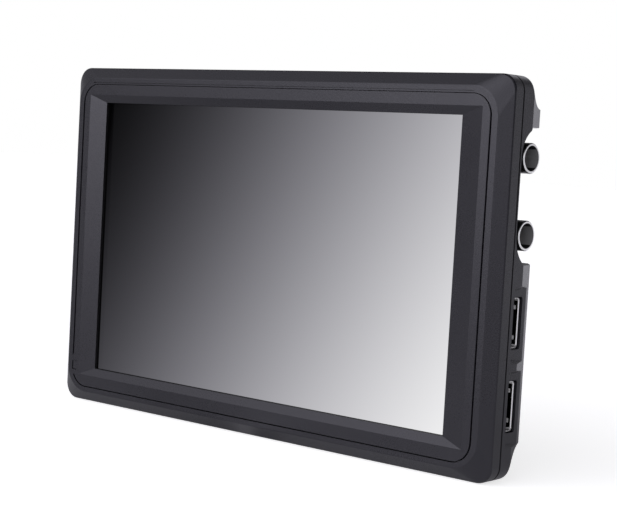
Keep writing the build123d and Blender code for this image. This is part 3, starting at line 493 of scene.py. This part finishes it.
film = Finish("prism_film", Specular_IOR_Level=0.5)
x, y, z = film.axes()
prisms = (z * PRISMS).sine()
white = film.mix(film.noise(10 * MM), (0.78, 0.79, 0.8), (0.86, 0.87, 0.88))
white_film = film.paint(Base_Color=white, Roughness=0.3, Normal=film.bump(prisms, 0.01 * MM))
print("conductors repeat every", repeat(CONDUCTORS), "mm, prisms every", repeat(PRISMS), "mm")

# %% Light guide and light bar
DOTS, EMITTERS = 3500, 1200

guide = Finish("dotted_guide", Specular_IOR_Level=0.5)
x, y, z = guide.axes()
dots = (x * DOTS).sine() * (z * DOTS).sine() > 0.6
light_guide = guide.paint(Base_Color=guide.mix(dots, (0.66, 0.72, 0.74), (0.9, 0.92, 0.92)),
                          Roughness=0.12 + dots * 0.4)

strip = Finish("light_bar", Specular_IOR_Level=0.5)
x, y, z = strip.axes()
emitter = (x * EMITTERS).sine() > 0.5
light_bar = strip.paint(Base_Color=strip.mix(emitter, (0.8, 0.8, 0.77), (0.85, 0.72, 0.12)),
                        Roughness=0.35 + strip.noise(1 * MM) * 0.1)
print("dots repeat every", repeat(DOTS), "mm, emitters every", repeat(EMITTERS), "mm")

# %% Cell and light pipe
cell = Finish("panel_cell", Specular_IOR_Level=0.5)
near_black = cell.mix(cell.noise(20 * MM), (0.012, 0.012, 0.014), (0.02, 0.02, 0.023))
panel_cell = cell.paint(Base_Color=near_black, Roughness=0.1 + cell.noise(4 * MM) * 0.06)
pipe = Finish("light_pipe", Specular_IOR_Level=0.5, Transmission_Weight=0.5)
milky = pipe.mix(pipe.noise(0.6 * MM), (0.55, 0.72, 0.58), (0.7, 0.84, 0.72))
light_pipe = pipe.paint(Base_Color=milky, Roughness=0.2 + pipe.noise(0.3 * MM) * 0.1)
print("inside finishes made")

# %% [markdown]
# ## Which finish goes where
# Every node already has a slot for its material, so dressing it is one assignment. A table
# from finish to nodes reads like a bill of materials, and the count printed at the end shows
# that nothing has been forgotten.

# %% Dress the nodes
buttons = ["power_button", "input_button"] + [f"function_button_{i}" for i in range(1, 5)]
dressed = {
    "front_frame": casing_plastic, "rear_cover": casing_plastic, "screen_bezel": bezel_plastic,
    "screen_gasket": foam_black, "lcd_glass": screen_glass, "lcd_cell": panel_cell,
    "diffuser_films": white_film, "reflector_sheet": white_film, "light_guide": light_guide,
    "led_bar": light_bar, "panel_tray": tray_steel, "panel_flex": amber_foil,
    "key_cable": amber_foil, "main_board": board_green, "key_board": board_green,
    "board_chips": chip_epoxy, "key_switches": chip_epoxy, "wheel_switch": chip_epoxy,
    "thermal_pad": gap_pad, "heat_sink": fin_aluminium, "panel_screws": zinc,
    "board_screws": zinc, "case_screws": black_oxide, "plate_screws": black_oxide,
    "frame_inserts": brass, "stand_inserts": brass, "tripod_insert": steel,
    "wheel_axle": steel, "latch_spring": steel, "supply_pin": nickel, "battery_contacts": brass,
    "phones_jack": socket_black, "supply_jack": socket_black, "service_port_tongue": socket_black,
    "av_in_tongue": socket_black, "av_out_tongue": socket_black, "power_light": light_pipe,
    "menu_wheel": wheel_rubber, "wheel_cradle": white_moulding, "battery_plate": plate_plastic,
    "contact_block": plate_plastic, "battery_latch": latch_plastic,
}
for jack in ("coax_in", "coax_out"):
    dressed[jack + "_shell"] = barrel_finish(jack + "_shell")
    dressed[jack + "_insulator"] = socket_black
    dressed[jack + "_contact"] = brass
    dressed[jack + "_nut"] = nickel
for node, side in socket_shells.items():
    dressed[node] = shell_finish(node, side)
for button in buttons:
    dressed[button] = key_rubber

for name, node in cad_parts.items():
    node.data.materials.clear()
    node.data.materials.append(dressed[name])
print(len(dressed), "nodes dressed, left over:", set(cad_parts) - set(dressed))

# %% [markdown]
# ## Small pieces that the model leaves out
# Screw recesses, thread turns, grip ribs and printed marks are too fine for the mechanical
# model, but a screw without its recess looks like a peg. Each is built point by point: rings of
# points, one after the other, joined by faces and closed at both ends. `add_piece` then makes
# the object, keeps the edges crisp where faces meet at a steep angle, and makes it ride on the
# body that carries it.


# %% Joining rings into a mesh
def join_rings(mesh, rings):
    """Faces between neighbouring rings of points, and one face over each end."""
    rows = [[mesh.verts.new(point) for point in ring] for ring in rings]
    for near, far in zip(rows, rows[1:]):
        for i in range(len(near)):
            j = (i + 1) % len(near)
            mesh.faces.new((near[i], near[j], far[j], far[i]))
    mesh.faces.new(rows[0][::-1])
    mesh.faces.new(rows[-1])


def add_piece(name, mesh, material, body, crisp=35):
    bmesh.ops.recalc_face_normals(mesh, faces=mesh.faces[:])
    for face in mesh.faces:
        face.smooth = True
    for edge in mesh.edges:
        edge.smooth = edge.calc_face_angle(0) < math.radians(crisp)
    data = bpy.data.meshes.new(name)
    mesh.to_mesh(data)
    mesh.free()
    data.materials.append(material)
    piece = bpy.data.objects.new(name, data)
    scene.collection.objects.link(piece)
    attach(piece, body)
    print(name, "has", len(data.polygons), "faces")
    return piece


def around(steps):
    return [2 * math.pi * i / steps for i in range(steps)]


print("mesh helpers ready")

# %% [markdown]
# ## Screws with cross recesses
# The casing and the battery plate are held by pan-head screws. A head is turned: a side, a
# rounded shoulder and a low dome. The driver's recess is a tapering cross. A Boolean modifier
# could cut it, but it leaves long thin faces that shade badly. So the dome's innermost ring
# takes a cross's outline, and two more rings carry it down to a smaller cross.

# %% Screws
MIDDLE = screen_middle.z / MM
NEARLY_ZERO = 0.001                    # stands in where a sine or cosine would divide by 0

# the screws' places in millimetres, counted from the screen's middle
CASE_SCREWS = [(x, MIDDLE + z) for x in (-84.5, 84.5) for z in (-55, 55)]
CASE_SCREWS += [(x, MIDDLE - 55) for x in (-40, 40)]
PLATE_SCREWS = [(x, MIDDLE + z) for x in (-13, 13) for z in (-18, 22)]


def cross_radius(angle, arm, half):
    """How far a cross with arms of this length and half width reaches at an angle."""
    c, s = (max(abs(f(angle)), NEARLY_ZERO) for f in (math.cos, math.sin))
    return max(min(arm / c, half / s), min(arm / s, half / c))


def turned_screw(mesh, x, z, seat, head, height, shank, length, sides=48):
    """A screw along Y; `head` and `shank` are radii, and `seat` is where the head sits."""
    # its outline: the tapered tip, the shank, and the head up to the edge of the recess
    steps = [(shank * 0.6, -length), (shank, -length + 0.5), (shank, 0.0), (head, 0.0),
             (head, height * 0.45), (head * 0.93, height * 0.72), (head * 0.8, height * 0.88),
             (head * 0.62, height)]
    rings = [[(radius, level)] * sides for radius, level in steps]
    # the cross, which gets smaller on its way down
    arm, half = head * 0.5, head * 0.17
    for scale, level in ((1.0, height), (0.9, height * 0.75), (0.6, height * 0.3)):
        reach = [cross_radius(angle, arm, half) * scale for angle in around(sides)]
        rings.append([(radius, level) for radius in reach])
    join_rings(mesh, [
        [Vector((x + radius * math.cos(a), seat + level, z + radius * math.sin(a))) * MM
         for a, (radius, level) in zip(around(sides), ring)] for ring in rings])


screws = bmesh.new()
for x, z in CASE_SCREWS:
    turned_screw(screws, x, z, seat=-5.1, head=2.6, height=1.8, shank=1.5, length=6.4)
piece = add_piece("case_screws_turned", screws, black_oxide, "case")
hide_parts("case_screws")
screws = bmesh.new()
for x, z in PLATE_SCREWS:
    turned_screw(screws, x, z, seat=10.9, head=2.3, height=1.5, shank=1.0, length=7.0)
piece = add_piece("plate_screws_turned", screws, black_oxide, "case")
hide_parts("plate_screws")

# %% [markdown]
# ## Threads
# A thread is one ridge wound round a bore. A Screw modifier could wind it, but each bore would
# then be an object of its own. Here the ridge's four-cornered section is repeated along the
# helix, a little further round and a little further in each time, with its foot sunk just
# below the bore's wall so that no gap shows. The monitor's foot has a 1/4 inch camera thread,
# with 20 turns to the inch, and the four inserts at the back have 4 mm threads with a 0.7 mm
# pitch.


# %% Threads
TRIPOD_Y = -1.3                        # the camera thread's middle, from front to back
STAND_PITCH = 75.0                     # the four inserts at the back make a square
SUNK = 0.03                            # how far a ridge's foot lies below the bore's wall
FOOT_HALF, CREST_HALF = 0.42, 0.07     # half widths of the ridge, in pitches


def thread(mesh, place, bore, crest, pitch, start, end, steps=28):
    """A ridge wound inside a bore; `place` maps across, along and depth to a point in space."""
    turns = (end - start - pitch) / pitch
    foot = bore + SUNK
    section = [(foot, -FOOT_HALF), (crest, -CREST_HALF), (crest, CREST_HALF), (foot, FOOT_HALF)]
    rings = []
    for i in range(int(turns * steps) + 1):
        angle = 2 * math.pi * i / steps
        climb = start + pitch * (0.5 + i / steps)
        rings.append([place(r * math.cos(angle), r * math.sin(angle), climb + k * pitch) * MM
                      for r, k in section])
    join_rings(mesh, rings)


ridge = bmesh.new()
thread(ridge, lambda u, v, w: Vector((u, v + TRIPOD_Y, w)),
       bore=3.175, crest=2.6, pitch=1.27, start=0.1, end=8.4)
add_piece("tripod_thread", ridge, steel, "case")
ridge = bmesh.new()
for middle_x in (-STAND_PITCH / 2, STAND_PITCH / 2):
    for middle_z in (MIDDLE - STAND_PITCH / 2, MIDDLE + STAND_PITCH / 2):
        thread(ridge, lambda u, v, w: Vector((middle_x + u, w, middle_z + v)),
               bore=2.0, crest=1.65, pitch=0.7, start=2.2, end=8.3)
add_piece("stand_threads", ridge, brass, "case")

# %% [markdown]
# ## Grip ribs and raised marks
# A thumb pushes the battery latch down, so its face has three ribs. The contacts' polarity is
# raised on the plate, and the keys carry raised signs: power, input, and one to four dots for
# the keys that the user can assign. A Text object would need a font that has these signs, so
# they are put together from bars, arcs and dots. Bars have bevelled edges, so that they catch a
# thin light, and the round signs are a flat section carried along an arc.

# %% Bars, arcs and dots
SIGN, STROKE = 0.07, 0.16              # how far a sign stands up, and half its stroke
KEY_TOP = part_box("power_button")[1][2] / MM
KEY_Y = middle("power_button").y / MM


def bar(mesh, low, high, bevel):
    centre = [(low[i] + high[i]) / 2 * MM for i in range(3)]
    sizes = [(high[i] - low[i]) * MM for i in range(3)]
    matrix = Matrix.Translation(centre) @ Matrix.Diagonal((*sizes, 1))
    cube = bmesh.ops.create_cube(mesh, size=1, matrix=matrix)["verts"]
    edges = list(dict.fromkeys(edge for vert in cube for edge in vert.link_edges))
    bmesh.ops.bevel(mesh, geom=edges, offset=bevel * MM, segments=2, affect="EDGES", profile=0.5)


def key_stroke(mesh, x, start, end):
    """A straight stroke on a key top, from one point of the sign to another."""
    (u0, v0), (u1, v1) = start, end
    low = (x + min(u0, u1) - STROKE, KEY_Y + min(v0, v1) - STROKE, KEY_TOP - SIGN)
    high = (x + max(u0, u1) + STROKE, KEY_Y + max(v0, v1) + STROKE, KEY_TOP + SIGN)
    bar(mesh, low, high, bevel=0.03)


def on_key(x, radius, angle, height):
    """A point around the place x on the row of keys, this high over their tops."""
    return Vector((x + radius * math.cos(angle), KEY_Y + radius * math.sin(angle),
                   KEY_TOP + height)) * MM


def key_arc(mesh, x, radius, first, last, steps=28):
    inner, outer = radius - STROKE, radius + STROKE
    section = ((inner, -SIGN), (inner, SIGN), (outer, SIGN), (outer, -SIGN))
    rings = []
    for i in range(steps + 1):
        angle = math.radians(first + (last - first) * i / steps)
        rings.append([on_key(x, r, angle, h) for r, h in section])
    join_rings(mesh, rings)


def key_dot(mesh, x, radius=0.34, sides=20):
    steps = ((radius, -SIGN), (radius, SIGN * 0.5), (radius * 0.8, SIGN), (radius * 0.3, SIGN))
    join_rings(mesh, [[on_key(x, r, angle, h) for angle in around(sides)] for r, h in steps])


print("key tops are", round(KEY_TOP, 1), "mm over the floor")

# %% Ribs and polarity
RIB_LENGTH, RIB_HALF, RIB_TOP = 12.0, 0.25, 0.24
LATCH_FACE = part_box("battery_latch")[1][1] / MM
LATCH_MIDDLE = middle("battery_latch").z / MM
FOOT = 0.1                             # how far ribs and marks are sunk into what carries them

ribs = bmesh.new()
for step in (-1.5, -0.5, 0.5):
    z = LATCH_MIDDLE + step
    bar(ribs, (-RIB_LENGTH / 2, LATCH_FACE - FOOT, z - RIB_HALF),
        (RIB_LENGTH / 2, LATCH_FACE + RIB_TOP, z + RIB_HALF), bevel=0.1)
add_piece("latch_ribs", ribs, latch_plastic, "latch")

# a plus and a minus, one on each side of the contacts
PLATE_FACE, MARK_X, MARK_Z = 13.0, 8.0, 38.35
MARK_TOP, MARK_REACH, MARK_HALF = 0.15, 1.5, 0.3


def mark_bar(mesh, x, half_x, half_z):
    bar(mesh, (x - half_x, PLATE_FACE - FOOT, MARK_Z - half_z),
        (x + half_x, PLATE_FACE + MARK_TOP, MARK_Z + half_z), bevel=0.05)


polarity = bmesh.new()
mark_bar(polarity, -MARK_X, MARK_REACH, MARK_HALF)
mark_bar(polarity, -MARK_X, MARK_HALF, MARK_REACH)
mark_bar(polarity, MARK_X, MARK_REACH, MARK_HALF)
add_piece("polarity_marks", polarity, plate_plastic, "case")

# %% Signs on the keys
RING, RING_GAP = 1.15, 70              # the power sign's radius, and its gap in degrees
DOT_PITCH = 1.15
sign_print = moulded("sign_print", (0.55, 0.55, 0.54), grain=0.12 * MM, depth=0.002 * MM,
                     roughness=0.5)


def key_middle(button):
    return middle(button).x / MM


# the power sign: a ring that is open at the back, and a stroke through the gap
sign = bmesh.new()
x = key_middle("power_button")
key_arc(sign, x, RING, 90 + RING_GAP / 2, 450 - RING_GAP / 2)
key_stroke(sign, x, (0, 0.35), (0, 1.5))
add_piece("power_sign", sign, sign_print, "power_button_body")

# the input sign: a frame that is open on its left, and a line going in
frame_strokes = [((-0.9, 1.1), (1.5, 1.1)), ((1.5, 1.1), (1.5, -1.1)), ((-0.9, -1.1), (1.5, -1.1))]
open_side = [((-0.9, 0.7), (-0.9, 1.1)), ((-0.9, -0.7), (-0.9, -1.1))]
line_in = ((-1.7, 0), (0.5, 0))
sign = bmesh.new()
for start, end in (*frame_strokes, line_in, *open_side):
    key_stroke(sign, key_middle("input_button"), start, end)
add_piece("input_sign", sign, sign_print, "input_button_body")

for count in range(1, 5):
    button = f"function_button_{count}"
    sign = bmesh.new()
    for i in range(count):
        key_dot(sign, key_middle(button) + (i - (count - 1) / 2) * DOT_PITCH)
    add_piece(f"function_sign_{count}", sign, sign_print, button + "_body")

# %% [markdown]
# ## Studio
# The monitor stands on white paper in a dim room, and soft white panels around it do the
# lighting. Area lamps would mirror as hard-edged windows in the black plastic, so a panel is
# only a part of the world's light: a direction, a level and a softness. It falls off smoothly
# from its middle: with `f` the cosine of the angle to it, the light is the level times
# ((1 + f) / 2) to a high power. Black plastic shows little but what it mirrors, so each panel
# is there for a face of the casing, and the notes say which. Faces that are low or look down
# mirror the paper instead, which gets bright patches in the same way. Added up over all
# panels, a white card that faces the front reads about 1, which is plain studio level.


# %% Panels
DAYLIGHT = (0.98, 0.97, 1.04)          # the light of the panels is a touch cool


class Panel:
    def __init__(self, azimuth, height, level, softness=18):
        """Azimuth 0 is in front, 90 to the right and 180 behind; angles are in degrees."""
        turn, lift = math.radians(azimuth), math.radians(height)
        out = math.cos(lift)
        self.towards = (math.sin(turn) * out, -math.cos(turn) * out, math.sin(lift))
        self.level, self.softness = level, softness

    def light(self, network, direction):
        facing = network.vector("DOT_PRODUCT", direction, self.towards, output="Value")
        return (facing * 0.5 + 0.5) ** self.softness * self.level


def all_light(network, direction, panels):
    total = panels[0].light(network, direction)
    for panel in panels[1:]:
        total = total + panel.light(network, direction)
    return network.node("ShaderNodeVectorMath", {"operation": "SCALE"},
                        {0: DAYLIGHT, "Scale": total})


def path(network, *ways):
    """1 for the kinds of ray that are named."""
    found = [network.node("ShaderNodeLightPath", output=f"Is {way} Ray") for way in ways]
    either = found[0]
    for other in found[1:]:
        either = either.larger(other)
    return either


print("panels ready, tinted", DAYLIGHT)

# %% Which face each panel is for
room_panels = [
    Panel(-25, 5, 3.6, softness=60),       # the flat front, brighter towards the upper right
    Panel(36, 8, 1.5),                     # the right bevel
    Panel(0, 42, 1.25),                    # the upper right corner
    Panel(-45, 42, 0.8),                   # the top bevel and the lower wall of the recess
    Panel(-108, 8, 0.43),                  # the upper left corner
    Panel(144, 8, 0.57),                   # the right side
    Panel(180, 2, 1.25, softness=80),      # the sloped edge of the rear cover
    Panel(-32, 28, 0.95, softness=60),     # the lower wall of the recess, once more
    Panel(-158, 27, 0.8, softness=60),     # the small rounds over the upper right corner
]
paper_panels = [
    Panel(180, 0, 0.9),                    # the sloped edge and the middle of the right side
    Panel(150, 0, 0.15),                   # the lower part of the right side
    Panel(90, 0, 0.2),                     # the lower right corner and the bevel beside it
    Panel(-90, 0, 0.14),                   # the lower left corner and the bevel beside it
    Panel(-18, 0, 0.27, softness=40),      # the flat front's lower half, mostly at the right
    Panel(52, 0, 0.1, softness=40),        # the lower part of the right bevel
]
print(len(room_panels), "panels in the room,", len(paper_panels), "bright patches of paper")

# %% World
world = bpy.data.worlds.new("white_tent")
world.use_nodes = True
scene.world = world
tent = Network(world.node_tree)
direction = tent.node("ShaderNodeTexCoord", output="Generated")
room = all_light(tent, direction, room_panels)
backdrop = tent.mix(path(tent, "Camera", "Transmission"), room, WHITE)
tent.feed(world.node_tree.nodes["Background"].inputs["Color"], backdrop)
print("world lit by", len(room_panels), "panels")

# %% [markdown]
# ## Paper floor
# A plain white floor would end in a grey horizon. This one has a little light of its own for
# the camera, so that it fades into the backdrop and still keeps the monitor's soft shadow.
# Glossy parts see its bright patches: which patch a spot belongs to follows from its direction
# as seen from the monitor's foot.

# %% Floor
FLOOR_REACH = 6.0
FLOOR_LEVEL = -0.2 * MM                # a hair below the foot, so that the two faces don't meet
GLOW = (0.72, 0.72, 0.72)

floor_mesh = bpy.data.meshes.new("studio_floor")
grid = bmesh.new()
bmesh.ops.create_grid(grid, x_segments=8, y_segments=8, size=FLOOR_REACH)
grid.to_mesh(floor_mesh)
grid.free()
floor = bpy.data.objects.new("studio_floor", floor_mesh)
floor.location.z = FLOOR_LEVEL
scene.collection.objects.link(floor)
paper = Finish("floor_paper", Base_Color=(0.8, 0.8, 0.8), Roughness=0.9, Emission_Strength=1.0)
outwards = paper.vector("NORMALIZE", paper.vector("MULTIPLY", paper.place(), (1.0, 1.0, 0.0)))
seen = paper.mix(path(paper, "Camera", "Transmission"), (0.0, 0.0, 0.0), GLOW)
glow = paper.mix(path(paper, "Glossy"), seen, all_light(paper, outwards, paper_panels))
floor_mesh.materials.append(paper.paint(Emission_Color=glow))
print("studio ready")
